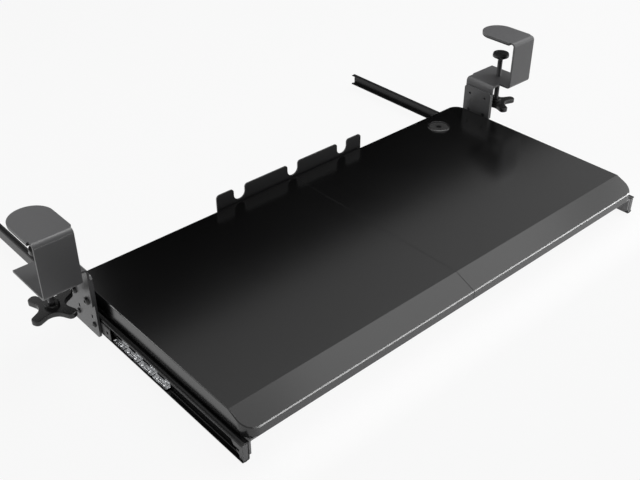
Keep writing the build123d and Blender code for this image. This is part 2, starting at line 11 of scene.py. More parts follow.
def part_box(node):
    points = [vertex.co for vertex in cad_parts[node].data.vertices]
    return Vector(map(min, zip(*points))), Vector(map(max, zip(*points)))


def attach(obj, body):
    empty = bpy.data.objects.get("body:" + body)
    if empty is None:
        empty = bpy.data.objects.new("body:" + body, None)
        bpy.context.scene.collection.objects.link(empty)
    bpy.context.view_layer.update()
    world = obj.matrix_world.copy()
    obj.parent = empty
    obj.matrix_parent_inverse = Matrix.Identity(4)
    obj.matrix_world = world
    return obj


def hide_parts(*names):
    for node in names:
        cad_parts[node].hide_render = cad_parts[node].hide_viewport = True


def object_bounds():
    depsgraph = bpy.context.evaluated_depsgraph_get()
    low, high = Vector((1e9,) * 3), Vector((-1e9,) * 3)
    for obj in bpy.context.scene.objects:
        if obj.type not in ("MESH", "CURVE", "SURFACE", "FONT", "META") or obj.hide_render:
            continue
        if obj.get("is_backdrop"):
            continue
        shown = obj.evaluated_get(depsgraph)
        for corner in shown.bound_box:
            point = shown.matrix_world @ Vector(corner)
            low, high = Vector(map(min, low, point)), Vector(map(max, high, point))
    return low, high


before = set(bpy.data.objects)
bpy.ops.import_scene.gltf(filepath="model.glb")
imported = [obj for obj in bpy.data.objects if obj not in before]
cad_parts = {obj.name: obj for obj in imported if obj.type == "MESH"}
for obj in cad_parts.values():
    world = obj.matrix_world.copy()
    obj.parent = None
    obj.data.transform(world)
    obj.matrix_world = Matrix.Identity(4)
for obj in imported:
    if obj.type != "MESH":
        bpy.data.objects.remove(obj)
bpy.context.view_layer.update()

bl_info = {
    "name": "Clamp-on Keyboard Tray",
    "version": (1, 0, 0),
    "blender": (4, 5, 0),
    "location": "3D View > Sidebar > Keyboard Tray",
    "description": "Dresses the packed keyboard tray with finished pieces and materials",
    "category": "Object",
}

SIDES = ("left", "right")

# Turns for a shape that stands along Z, so that it lies along another axis.
ALONG_X = Matrix.Rotation(math.radians(90), 4, "Y")
ALONG_Y = Matrix.Rotation(math.radians(-90), 4, "X")

# Points nearer than this are one, in a CAD node's mesh and on a lathe's axis.
NODE_WELD = 0.000004
LATHE_WELD = 0.000002

# Faces of a CAD node that meet at less than the first angle are one flat face. Edges that
# turn by more than the second are rims, which get rounded.
FLAT_ANGLE = math.radians(0.6)
RIM_ANGLE = math.radians(40)

# The sockets of a Mix node that carry colours.
MIX_FIRST, MIX_SECOND, MIX_RESULT = 6, 7, 2

# A face of the board gets the lip's lighter colour, a painted highlight, if its normal points
# forward by more than the first share and up or down by less than the second.
LIP_HIGHLIGHT_FORWARD = 0.3
LIP_HIGHLIGHT_UPRIGHT = 0.3

# A screw head's dome from its foot to its flat top: shares of the head's radius, and of
# the dome's height measured down from the top.
DOME = ((1, 1), (0.93, 0.45), (0.8, 0.12), (0.55, 0))
HEXAGON_SIDE = math.radians(60)
BUTTON_HEAD = {"radius": 0.0053, "height": 0.0032, "dome": 0.0026, "socket": 0.004,
               "socket_depth": 0.0022}
PAN_HEAD = {"radius": 0.0037, "height": 0.0022, "dome": 0.0016, "socket": 0.0025,
            "socket_depth": 0.0014}
SHANK_SHARE = 0.54

# The right knob's turn at rest, which the left one mirrors.
KNOB_TURN = math.radians(-24)

# Small forms in turned profiles, as steps out and up from the place they stand at.
FLANGE_FOOT = ((-0.0002, 0), (0, 0.0003))
FLANGE_SHOULDER = ((-0.0003, -0.0009), (-0.0009, -0.0003), (-0.0016, 0))
RING_MOUTH = ((0.0006, 0), (0.0002, -0.0003))
BOSS_SHOULDER = ((0, -0.0012), (-0.0003, -0.0004), (-0.001, 0))
PAD_MOUTH = ((0, 0.0003), (0.00032, 0))
DISC_GROOVE = ((0, 0), (-0.0003, -0.0004), (-0.0007, -0.0004), (-0.001, 0))

# The share of plain white in the floor where it is seen, which leaves it the object's
# shadow, and the world's strength where it is seen.
FLOOR_WHITE = 0.91
WORLD_WHITE = 0.95


# Shader nodes


class Value:
    """One output of a node, or a number made from outputs, that can be used in sums."""

    def __init__(self, shader, socket):
        self.shader = shader
        self.socket = socket

    def maths(self, operation, first, second):
        return self.shader.node("ShaderNodeMath", {"operation": operation}, {0: first, 1: second})

    def __add__(self, other):
        return self.maths("ADD", self, other)

    __radd__ = __add__

    def __mul__(self, other):
        return self.maths("MULTIPLY", self, other)

    __rmul__ = __mul__

    def __sub__(self, other):
        return self.maths("SUBTRACT", self, other)

    def __rsub__(self, other):
        return self.maths("SUBTRACT", other, self)


class Shader:
    """The nodes of a material or a world, with one method that makes any of them."""

    def __init__(self, owner):
        owner.use_nodes = True
        self.owner = owner
        self.tree = owner.node_tree
        self.tree.nodes.clear()

    def node(self, kind, settings=None, sockets=None, output=0):
        """A new node, with its settings first and then the values or links of its sockets."""
        made = self.tree.nodes.new(kind)
        for key, value in (settings or {}).items():
            setattr(made, key, value)
        for key, value in (sockets or {}).items():
            if isinstance(value, Value):
                self.tree.links.new(value.socket, made.inputs[key])
            else:
                made.inputs[key].default_value = value
        return Value(self, made.outputs[output]) if made.outputs else None

    def place(self, stretch=(1, 1, 1)):
        """Object coordinates, stretched along the axes."""
        where = self.node("ShaderNodeTexCoord", output="Object")
        return self.node("ShaderNodeMapping", {}, {"Vector": where, "Scale": stretch})

    def noise(self, scale, detail=2, roughness=0.5, stretch=(1, 1, 1)):
        sockets = {"Vector": self.place(stretch), "Scale": scale, "Detail": detail,
                   "Roughness": roughness}
        return self.node("ShaderNodeTexNoise", {}, sockets)

    def cells(self, scale):
        sockets = {"Vector": self.place(), "Scale": scale}
        return self.node("ShaderNodeTexVoronoi", {}, sockets)

    def mottled(self, factor, colour, dark, light):
        """The colour, times dark where the factor is 0 and times light where it is 1."""
        sockets = {0: factor, MIX_FIRST: scaled(colour, dark) + (1,),
                   MIX_SECOND: scaled(colour, light) + (1,)}
        return self.node("ShaderNodeMix", {"data_type": "RGBA"}, sockets, MIX_RESULT)

    def steps(self, value, low, high):
        """0 below the low value, 1 above the high one."""
        sockets = {"Value": value, "From Min": low, "From Max": high}
        return self.node("ShaderNodeMapRange", {"clamp": True}, sockets)

    def surface(self, colour, roughness, height, depth, strength, **constants):
        """Ends a material in its surface, with a bump that follows the height."""
        bump = {"Height": height, "Distance": depth, "Strength": strength}
        sockets = {"Base Color": colour, "Roughness": roughness,
                   "Normal": self.node("ShaderNodeBump", {}, bump)}
        for key, value in constants.items():
            sockets[key.replace("_", " ")] = value
        made = self.node("ShaderNodeBsdfPrincipled", {}, sockets)
        self.node("ShaderNodeOutputMaterial", {}, {"Surface": made})
        return self.owner


def new_shader(name):
    return Shader(bpy.data.materials.new(name))


def scaled(colour, factor):
    return tuple(channel * factor for channel in colour)


def laminate(name, colour):
    """Satin laminate with a fine pebbled grain."""
    s = new_shader(name)
    pebble = s.noise(scale=1500, detail=3, roughness=0.6)
    cloud = s.noise(scale=9)
    tone = s.mottled(pebble, colour, dark=0.75, light=1.3)
    roughness = 0.15 + 0.04 * pebble + 0.03 * cloud
    return s.surface(tone, roughness, height=pebble, depth=0.00001, strength=0.3)


def powder_coat(name, colour):
    """Baked powder coat with its orange-peel skin."""
    s = new_shader(name)
    peel = s.noise(scale=1100, roughness=0.55)
    fleck = s.noise(scale=4200, detail=1)
    tone = s.mottled(fleck, colour, dark=0.8, light=1.25)
    roughness = 0.32 + 0.12 * (fleck - 0.5)
    skin = peel + 0.35 * fleck
    return s.surface(tone, roughness, height=skin, depth=0.00009, strength=0.55)


def rolled_steel(name, colour, metallic, base_roughness, specular=0.5):
    """Cold-rolled strip with fine lines along its length."""
    s = new_shader(name)
    lines = s.noise(scale=900, detail=3, roughness=0.6, stretch=(1, 0.02, 1))
    cloud = s.noise(scale=60)
    tone = s.mottled(lines, colour, dark=0.75, light=1.25)
    roughness = base_roughness + 0.14 * (lines - 0.5) + 0.06 * cloud
    return s.surface(tone, roughness, height=lines, depth=0.00003, strength=0.4,
                     Metallic=metallic, Specular_IOR_Level=specular)


def turned_steel(name, colour, metallic, base_roughness):
    """Machined or plated steel with a faint grain."""
    s = new_shader(name)
    grain = s.noise(scale=2400)
    tone = s.mottled(grain, colour, dark=0.85, light=1.15)
    roughness = base_roughness + 0.1 * (grain - 0.5)
    return s.surface(tone, roughness, height=grain, depth=0.00002, strength=0.3,
                     Metallic=metallic)


def moulded(name, colour, base_roughness):
    """Moulded plastic with a spark-eroded grain."""
    s = new_shader(name)
    spark = s.cells(scale=1700)
    cloud = s.noise(scale=120)
    tone = s.mottled(cloud, colour, dark=0.85, light=1.15)
    roughness = base_roughness + 0.08 * spark
    return s.surface(tone, roughness, height=spark, depth=0.00006, strength=0.5)


def rubber(name, colour):
    """Soft rubber with a dull bloom."""
    s = new_shader(name)
    bloom = s.noise(scale=240, detail=4, roughness=0.65)
    grain = s.noise(scale=3000)
    tone = s.mottled(bloom, colour, dark=0.7, light=1.5)
    roughness = 0.5 + 0.14 * bloom
    return s.surface(tone, roughness, height=grain + bloom, depth=0.00005, strength=0.5,
                     Specular_IOR_Level=0.3)


def beech(name, colour):
    """Plain beech with short dark flecks along the dowel."""
    s = new_shader(name)
    grain = s.noise(scale=420, detail=4, roughness=0.6, stretch=(0.06, 1, 1))
    tone = s.mottled(grain, colour, dark=0.7, light=1.15)
    roughness = 0.6 + 0.2 * grain
    return s.surface(tone, roughness, height=grain, depth=0.00008, strength=0.5)


# Sizes and colours that a user would change


class TrayFinish(bpy.types.PropertyGroup):
    board: FloatVectorProperty(
        name="Board", description="Colour of the board's laminate", subtype="COLOR",
        size=3, min=0, max=1, default=(0.001, 0.001, 0.00105))
    # The lip's colour is lighter than the board's: a painted highlight for the light its front
    # edge catches.
    lip_highlight: FloatVectorProperty(
        name="Edging", description="Colour of the board's front edge", subtype="COLOR",
        size=3, min=0, max=1, default=(0.014, 0.014, 0.0145))
    steel: FloatVectorProperty(
        name="Coated steel", description="Colour of the powder-coated steel", subtype="COLOR",
        size=3, min=0, max=1, default=(0.07, 0.07, 0.072))
    # The rail's powder coat is darker than the steel's: painted shade for the desk's shadow over
    # it.
    rail: FloatVectorProperty(
        name="Rear rail", description="Colour of the notched rail's powder coat",
        subtype="COLOR", size=3, min=0, max=1, default=(0.016, 0.016, 0.0165))
    slide: FloatVectorProperty(
        name="Slide steel", description="Colour of the blackened slide members",
        subtype="COLOR", size=3, min=0, max=1, default=(0.005, 0.005, 0.0053))
    bright: FloatVectorProperty(
        name="Bright steel", description="Colour of the plated cages and balls",
        subtype="COLOR", size=3, min=0, max=1, default=(0.84, 0.85, 0.86))
    screw: FloatVectorProperty(
        name="Screws", description="Colour of the blackened screws and rivets",
        subtype="COLOR", size=3, min=0, max=1, default=(0.008, 0.008, 0.0085))
    knob: FloatVectorProperty(
        name="Knobs", description="Colour of the moulded knobs and pressure pads",
        subtype="COLOR", size=3, min=0, max=1, default=(0.01, 0.01, 0.01))
    stop: FloatVectorProperty(
        name="End stops", description="Colour of the slides' end stops", subtype="COLOR",
        size=3, min=0, max=1, default=(0.05, 0.05, 0.051))
    ring: FloatVectorProperty(
        name="Grommet ring", description="Colour of the grommet's plastic ring",
        subtype="COLOR", size=3, min=0, max=1, default=(0.005, 0.005, 0.005))
    membrane: FloatVectorProperty(
        name="Grommet membrane", description="Colour of the grommet's slit rubber",
        subtype="COLOR", size=3, min=0, max=1, default=(0.006, 0.006, 0.006))
    pad: FloatVectorProperty(
        name="Pad rubber", description="Colour of the clamps' rubber pads and discs",
        subtype="COLOR", size=3, min=0, max=1, default=(0.016, 0.016, 0.016))
    dowel: FloatVectorProperty(
        name="Dowels", description="Colour of the beech dowels in the board's seam",
        subtype="COLOR", size=3, min=0, max=1, default=(0.52, 0.36, 0.2))


class TraySizes(bpy.types.PropertyGroup):
    sheet_edge: FloatProperty(
        name="Cut edge", description="Rounding of the edges of sheet metal and of the board",
        unit="LENGTH", min=0, max=0.001, default=0.00025)
    knob_edge: FloatProperty(
        name="Knob edge", description="Rounding round the knob's top and bottom",
        unit="LENGTH", min=0, max=0.003, default=0.0012)
    thread_pitch: FloatProperty(
        name="Thread pitch", description="Pitch of the clamp screws' thread",
        unit="LENGTH", min=0.0005, max=0.003, default=0.00125)
    ball_rings: IntProperty(
        name="Ball rings", description="Rings of faces on each ball", min=6, max=32, default=12)


class TrayStage(bpy.types.PropertyGroup):
    floor: FloatVectorProperty(
        name="Floor", description="Colour of the floor", subtype="COLOR",
        size=3, min=0, max=1, default=(0.35, 0.35, 0.35))
    card: FloatProperty(
        name="Card lamps", description="Brightness of the lamps over the board and behind it",
        min=0, max=50, default=0.72)
    strip: FloatProperty(
        name="Strip lamps", description="Brightness of the lamps that the board's slope mirrors",
        min=0, max=50, default=1.1)
    overhead: FloatProperty(
        name="Overhead lamp", description="Brightness of the large lamp overhead",
        min=0, max=50, default=4.6)
    front: FloatProperty(
        name="Front lamps", description="Brightness of the lamps at the right and at the lip",
        min=0, max=50, default=4)
    side: FloatProperty(
        name="Side lamp", description="Brightness of the low lamp at the left",
        min=0, max=50, default=6)
    fill: FloatProperty(
        name="Fill", description="Level of the light from all round",
        min=0, max=2, default=0.2)
    surround: FloatProperty(
        name="Surround", description="Level of the surroundings in reflections",
        min=0, max=2, default=0.75)


GROUPS = {"tray_finish": TrayFinish, "tray_sizes": TraySizes, "tray_stage": TrayStage}


def sizes():
    return bpy.context.scene.tray_sizes


# Mesh helpers


def turned(shape, matrix):
    bmesh.ops.transform(shape, matrix=matrix, verts=shape.verts)
    return shape


def merged(*shapes):
    """Several shapes as one."""
    whole = bmesh.new()
    for shape in shapes:
        mesh = bpy.data.meshes.new("part")
        shape.to_mesh(mesh)
        whole.from_mesh(mesh)
        bpy.data.meshes.remove(mesh)
        shape.free()
    return whole


def welded_copy(node):
    """A copy of a CAD node's mesh, its loose triangles joined."""
    shape = bmesh.new()
    shape.from_mesh(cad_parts[node].data)
    bmesh.ops.remove_doubles(shape, verts=shape.verts, dist=NODE_WELD)
    return shape


def node_copy(node):
    """A joined copy of a CAD node's mesh, its flat areas made whole again."""
    shape = welded_copy(node)
    bmesh.ops.dissolve_limit(shape, angle_limit=FLAT_ANGLE, verts=shape.verts,
                             edges=shape.edges, delimit=set())
    return shape


def islands(shape):
    """The shape's separate forms, each as a list of its vertices."""
    seen = set()
    for start in shape.verts:
        if start in seen:
            continue
        group = [start]
        seen.add(start)
        for vert in group:
            for edge in vert.link_edges:
                other = edge.other_vert(vert)
                if other not in seen:
                    seen.add(other)
                    group.append(other)
        yield group


def rim_of(shape):
    return [e for e in shape.edges if e.is_manifold and e.calc_face_angle() > RIM_ANGLE]


def rounded(shape, offset, segments=2, edges=None):
    """The shape with its rims rounded, or only the given edges."""
    bmesh.ops.bevel(shape, geom=rim_of(shape) if edges is None else edges, offset=offset,
                    offset_type="OFFSET", affect="EDGES", segments=segments, profile=0.5,
                    material=-1, clamp_overlap=True)
    return shape


def lathe(points, steps=48):
    """A solid of revolution about Z, from the profile's (radius, height) points."""
    shape = bmesh.new()
    verts = [shape.verts.new((radius, 0, height)) for radius, height in points]
    edges = [shape.edges.new(pair) for pair in zip(verts, verts[1:])]
    bmesh.ops.spin(shape, geom=verts + edges, cent=(0, 0, 0), axis=(0, 0, 1), angle=2 * math.pi,
                   steps=steps, use_merge=True)
    bmesh.ops.remove_doubles(shape, verts=shape.verts, dist=LATHE_WELD)
    bmesh.ops.recalc_face_normals(shape, faces=shape.faces)
    return shape


def stepped(radius, height, steps):
    """Points of a profile at small steps out and up from one place."""
    return [(radius + out, height + up) for out, up in steps]


def foot(radius, height, cut):
    """The chamfer where a profile turns from outwards to upwards."""
    return [(radius - cut, height), (radius, height + cut)]


def shoulder(radius, height, cut):
    """The chamfer where a profile turns from upwards to inwards."""
    return [(radius, height - cut), (radius - cut, height)]


def rounded_face(points, radii, segments=8):
    """A flat face in XY with its corners rounded."""
    shape = bmesh.new()
    verts = [shape.verts.new((x, y, 0)) for x, y in points]
    shape.faces.new(verts)
    for i, (vert, radius) in enumerate(zip(verts, radii)):
        here = Vector(points[i])
        before = (Vector(points[i - 1]) - here).normalized()
        after = (Vector(points[(i + 1) % len(points)]) - here).normalized()
        half = before.angle(after) / 2
        bmesh.ops.bevel(shape, geom=[vert], offset=radius / math.tan(half), offset_type="OFFSET",
                        affect="VERTICES", segments=segments, profile=0.5, material=-1)
    return shape


def drawn_out(shape, height):
    """The flat face drawn out along Z."""
    made = bmesh.ops.extrude_face_region(shape, geom=shape.faces[:])
    top = [v for v in made["geom"] if isinstance(v, bmesh.types.BMVert)]
    bmesh.ops.translate(shape, vec=(0, 0, height), verts=top)
    bmesh.ops.recalc_face_normals(shape, faces=shape.faces)
    return shape


def finished(name, shape, body, kind, node, smooth_angle=35):
    """The shape as a piece that stands for a CAD node, shaded smooth over its curves."""
    mesh = bpy.data.meshes.new(name)
    shape.to_mesh(mesh)
    shape.free()
    mesh.shade_smooth()
    mesh.set_sharp_from_angle(angle=math.radians(smooth_angle))
    mesh.materials.append(material(kind))
    piece = bpy.data.objects.new(name, mesh)
    bpy.context.scene.collection.objects.link(piece)
    weighted = piece.modifiers.new("Flat faces stay flat", "WEIGHTED_NORMAL")
    weighted.keep_sharp = True
    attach(piece, body)
    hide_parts(node)
    return piece


def repaint(node, kind):
    """A CAD node keeps its mesh and gets a material."""
    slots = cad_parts[node].material_slots
    if not slots:
        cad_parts[node].data.materials.append(material(kind))
    for slot in slots:
        slot.material = material(kind)


def over_middle(node, height=0):
    """The move that puts a shape on the Z axis over the middle of a CAD node."""
    low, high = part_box(node)
    centre = (low + high) / 2
    return Matrix.Translation((centre.x, centre.y, height))


_made = {}


def material(kind):
    """The tray's materials, each made once from the user's colours."""
    if kind in _made:
        return _made[kind]
    finish = bpy.context.scene.tray_finish
    makers = {
        "board": lambda: laminate("board_laminate", finish.board),
        # The lip's lighter copy of the laminate is a painted highlight.
        "lip_highlight": lambda: laminate("board_lip_painted_highlight", finish.lip_highlight),
        "steel": lambda: powder_coat("powder_coated_steel", finish.steel),
        # The rail's darker copy of the powder coat is painted shade.
        "rail": lambda: powder_coat("rail_coat_painted_shade", finish.rail),
        "slide": lambda: rolled_steel("blackened_slide_steel", finish.slide, metallic=0.0,
                                      base_roughness=0.3, specular=0.3),
        "bright": lambda: rolled_steel("bright_cage_steel", finish.bright, metallic=0.75,
                                       base_roughness=0.2),
        "ball": lambda: turned_steel("ball_steel", finish.bright, metallic=1.0,
                                     base_roughness=0.12),
        "screw": lambda: turned_steel("black_oxide_screws", finish.screw, metallic=0.0,
                                      base_roughness=0.3),
        "thread": lambda: turned_steel("clamp_screw_steel", scaled(finish.steel, 1.2),
                                       metallic=0.6, base_roughness=0.32),
        "ring": lambda: moulded("grommet_plastic", finish.ring, base_roughness=0.2),
        "membrane": lambda: rubber("grommet_rubber", finish.membrane),
        "knob": lambda: moulded("knob_plastic", finish.knob, base_roughness=0.24),
        "stop": lambda: moulded("end_stop_plastic", finish.stop, base_roughness=0.4),
        "pad": lambda: rubber("pad_rubber", finish.pad),
        "dowel": lambda: beech("beech_dowel", finish.dowel),
    }
    _made[kind] = makers[kind]()
    return _made[kind]


# The pieces


def board_half(side):
    """Half of the board, with its front edge's faces painted lighter as a painted highlight."""
    node = "board_" + side
    shape = rounded(node_copy(node), sizes().sheet_edge)
    shape.normal_update()
    for face in shape.faces:
        if face.normal.y < -LIP_HIGHLIGHT_FORWARD and abs(face.normal.z) < LIP_HIGHLIGHT_UPRIGHT:
            face.material_index = 1
    piece = finished(side + "_board", shape, "tray", "board", node, smooth_angle=12)
    piece.data.materials.append(material("lip_highlight"))


def sheet_piece(node, name, body, kind, edge=None):
    """A CAD node with its cut edges rounded and its bends smooth."""
    shape = rounded(node_copy(node), sizes().sheet_edge if edge is None else edge)
    finished(name, shape, body, kind, node)


def socket_head(radius, height, dome, socket, socket_depth):
    """A domed screw head that stands on XY, with a hexagon socket in its top."""
    outline = [(radius * out, height - dome * under) for out, under in DOME]
    shape = lathe([(0, 0), (radius, 0)] + outline, steps=24)
    open_rim = [e for e in shape.edges if e.is_boundary]
    top = bmesh.ops.contextual_create(shape, geom=open_rim)["faces"]
    bmesh.ops.inset_region(shape, faces=top, thickness=0.0001, use_even_offset=True)
    for vert in top[0].verts:
        angle = math.atan2(vert.co.y, vert.co.x)
        off = (angle + HEXAGON_SIDE / 2) % HEXAGON_SIDE - HEXAGON_SIDE / 2
        reach = socket / 2 / math.cos(off)
        vert.co.x, vert.co.y = reach * math.cos(angle), reach * math.sin(angle)
    sunk = bmesh.ops.extrude_face_region(shape, geom=top)
    bottom = [v for v in sunk["geom"] if isinstance(v, bmesh.types.BMVert)]
    bmesh.ops.translate(shape, vec=(0, 0, -socket_depth), verts=bottom)
    bmesh.ops.delete(shape, geom=top, context="FACES_ONLY")
    bmesh.ops.recalc_face_normals(shape, faces=shape.faces)
    return shape


def screw_row(node, name, outwards, count, head):
    """A row of screws along Y whose heads point outwards, which is -1 for left, 1 for right."""
    low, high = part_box(node)
    tip, top = (low.x, high.x) if outwards > 0 else (high.x, low.x)
    seat = top - outwards * head["height"]
    first = low.y + head["radius"]
    last = high.y - head["radius"]
    z = (low.z + high.z) / 2
    facing = Matrix.Rotation(math.radians(90 * outwards), 4, "Y")
    shank = head["radius"] * SHANK_SHARE
    heads = []
    shanks = bmesh.new()
    for i in range(count):
        y = first + (last - first) * i / (count - 1)
        heads.append(turned(socket_head(**head), Matrix.Translation((seat, y, z)) @ facing))
        lying = Matrix.Translation(((tip + seat) / 2, y, z)) @ ALONG_X
        bmesh.ops.create_cone(shanks, cap_ends=True, segments=20, radius1=shank, radius2=shank,
                              depth=abs(seat - tip), matrix=lying)
    finished(name, merged(merged(*heads), shanks), "clamps", "screw", node)


def thread(radius, root, pitch, start, length, steps=20):
    """A ridge wound round Z, whose foot is sunk a little into a core of the root radius."""
    turns = int((length - pitch) / pitch)
    shape = bmesh.new()
    inside = root * 0.97
    corners = [(inside, start), (radius, start + pitch / 2), (inside, start + pitch)]
    verts = [shape.verts.new((x, 0, z)) for x, z in corners]
    face = shape.faces.new(verts)
    bmesh.ops.spin(shape, geom=[face], cent=(0, 0, 0), axis=(0, 0, 1),
                   dvec=(0, 0, pitch / steps), angle=2 * math.pi * turns, steps=steps * turns)
    bmesh.ops.recalc_face_normals(shape, faces=shape.faces)
    return shape


def star_plan(reach, lobe, valley, lobe_round, valley_round, lobes=4):
    """The corners of a star knob's plan, and the radius that rounds each of them."""
    points = []
    radii = []
    for i in range(lobes):
        turn = math.radians(i * 360 / lobes)
        low = math.radians((i + 0.5) * 360 / lobes)
        for side in (-lobe / 2, lobe / 2):
            x = reach * math.cos(turn) - side * math.sin(turn)
            y = reach * math.sin(turn) + side * math.cos(turn)
            points.append((x, y))
            radii.append(lobe_round)
        points.append((valley * math.cos(low), valley * math.sin(low)))
        radii.append(valley_round)
    return points, radii


class TRAY_OT_board(bpy.types.Operator):
    """Makes the two halves of the board and finishes what joins them"""

    bl_idname = "keyboard_tray.board"
    bl_label = "Board"

    def execute(self, context):
        for side in SIDES:
            board_half(side)
        repaint("seam_dowels", "dowel")
        repaint("splice_plates", "steel")
        repaint("splice_screws", "screw")
        return {"FINISHED"}


class TRAY_OT_rail(bpy.types.Operator):
    """Makes the notched rail behind the board"""

    bl_idname = "keyboard_tray.rail"
    bl_label = "Rear rail"

    def execute(self, context):
        sheet_piece("rear_rail", "notched_rail", "tray", "rail")
        repaint("rear_rail_screws", "screw")
        return {"FINISHED"}


class TRAY_OT_grommet(bpy.types.Operator):
    """Makes the grommet's ring and its slit membrane"""

    bl_idname = "keyboard_tray.grommet"
    bl_label = "Grommet"

    def execute(self, context):
        ring_low, ring_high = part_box("grommet_ring")
        flap_low, flap_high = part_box("grommet_membrane")
        outer = (ring_high.x - ring_low.x) / 2
        bore = (flap_high.x - flap_low.x) / 2
        sleeve = bore + 0.0015
        ledge = bore - 0.0016
        flange = ring_high.z - 0.002
        profile = [
            (ledge, ring_low.z), (sleeve, ring_low.z), (sleeve, flange),
            *stepped(outer, flange, FLANGE_FOOT),
            *stepped(outer, ring_high.z, FLANGE_SHOULDER),
            *stepped(bore, ring_high.z, RING_MOUTH),
            (bore, flap_low.z), (ledge, flap_low.z), (ledge, ring_low.z),
        ]
        ring = turned(lathe(profile, steps=64), over_middle("grommet_ring"))
        finished("grommet_collar", ring, "tray", "ring", "grommet_ring")
        flaps = rounded(node_copy("grommet_membrane"), 0.00008, segments=1)
        finished("slit_membrane", flaps, "tray", "membrane",
                 "grommet_membrane")
        return {"FINISHED"}


class TRAY_OT_slides(bpy.types.Operator):
    """Makes the ball-bearing slides and finishes what carries them"""

    bl_idname = "keyboard_tray.slides"
    bl_label = "Slides"

    def execute(self, context):
        for side in SIDES:
            name = side + "_"
            sheet_piece(name + "slide_channel", name + "channel", "tray", "slide",
                        edge=0.00012)
            sheet_piece(name + "slide_inner", name + "inner_member", "clamps", "slide",
                        edge=0.00012)
            self.cage(side)
            sheet_piece(name + "end_stop", name + "stop", "tray", "stop",
                        edge=0.0005)
            self.balls(side)
            repaint(name + "channel_rivets", "screw")
            repaint(name + "side_angle", "steel")
            repaint(name + "angle_screws", "screw")
        return {"FINISHED"}

    def cage(self, side):
        """The cage with two fine ribs pressed into each flange, in each of its six lengths."""
        lengths = 6
        rib_share = 0.32
        rib_radius = 0.0003
        rib_inset = 0.0006
        rib_offset = 0.0011
        node = side + "_ball_cage"
        shape = rounded(node_copy(node), 0.00008)
        low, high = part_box(node)
        span = (high.y - low.y) / lengths
        ribs = bmesh.new()
        for z in (low.z + rib_inset, high.z - rib_inset):
            for i in range(lengths):
                for off in (-rib_offset, rib_offset):
                    centre = ((low.x + high.x) / 2 + off, low.y + span * (i + 0.5), z)
                    bmesh.ops.create_cone(ribs, cap_ends=True, segments=8, radius1=rib_radius,
                                          radius2=rib_radius, depth=span * rib_share,
                                          matrix=Matrix.Translation(centre) @ ALONG_Y)
        finished(side + "_cage", merged(shape, ribs), side + "_cage", "bright",
                 node)

    def balls(self, side):
        """A round ball in the place of each of the CAD node's."""
        node = side + "_slide_balls"
        faceted = welded_copy(node)
        balls = bmesh.new()
        rings = sizes().ball_rings
        for group in islands(faceted):
            low = Vector(map(min, zip(*[v.co for v in group])))
            high = Vector(map(max, zip(*[v.co for v in group])))
            bmesh.ops.create_uvsphere(balls, u_segments=rings * 2, v_segments=rings,
                                      radius=(high.z - low.z) / 2,
                                      matrix=Matrix.Translation((low + high) / 2))
        faceted.free()
        finished(side + "_balls", balls, side + "_cage", "ball", node)


class TRAY_OT_clamps(bpy.types.Operator):
    """Makes the clamps, their pads and their nuts"""

    bl_idname = "keyboard_tray.clamps"
    bl_label = "Clamps"

    def execute(self, context):
        for side in SIDES:
            name = side + "_"
            sheet_piece(name + "clamp_body", name + "clamp", "clamps", "steel")
            sheet_piece(name + "jaw_pad", name + "tongue_pad", "clamps", "pad",
                        edge=0.0003)
            sheet_piece(name + "clamp_nut", name + "weld_nut", "clamps", "steel",
                        edge=0.0004)
        return {"FINISHED"}


class TRAY_OT_hangers(bpy.types.Operator):
    """Makes the hanger plates and their screws"""

    bl_idname = "keyboard_tray.hangers"
    bl_label = "Hanger plates"

    def execute(self, context):
        for side, outwards in zip(SIDES, (-1, 1)):
            name = side + "_"
            sheet_piece(name + "hanger_plate", name + "hanger", "clamps", "steel")
            screw_row(name + "hanger_screws", name + "button_heads", outwards, 2, BUTTON_HEAD)
            screw_row(name + "foot_screws", name + "pan_heads", outwards, 3, PAN_HEAD)
        return {"FINISHED"}


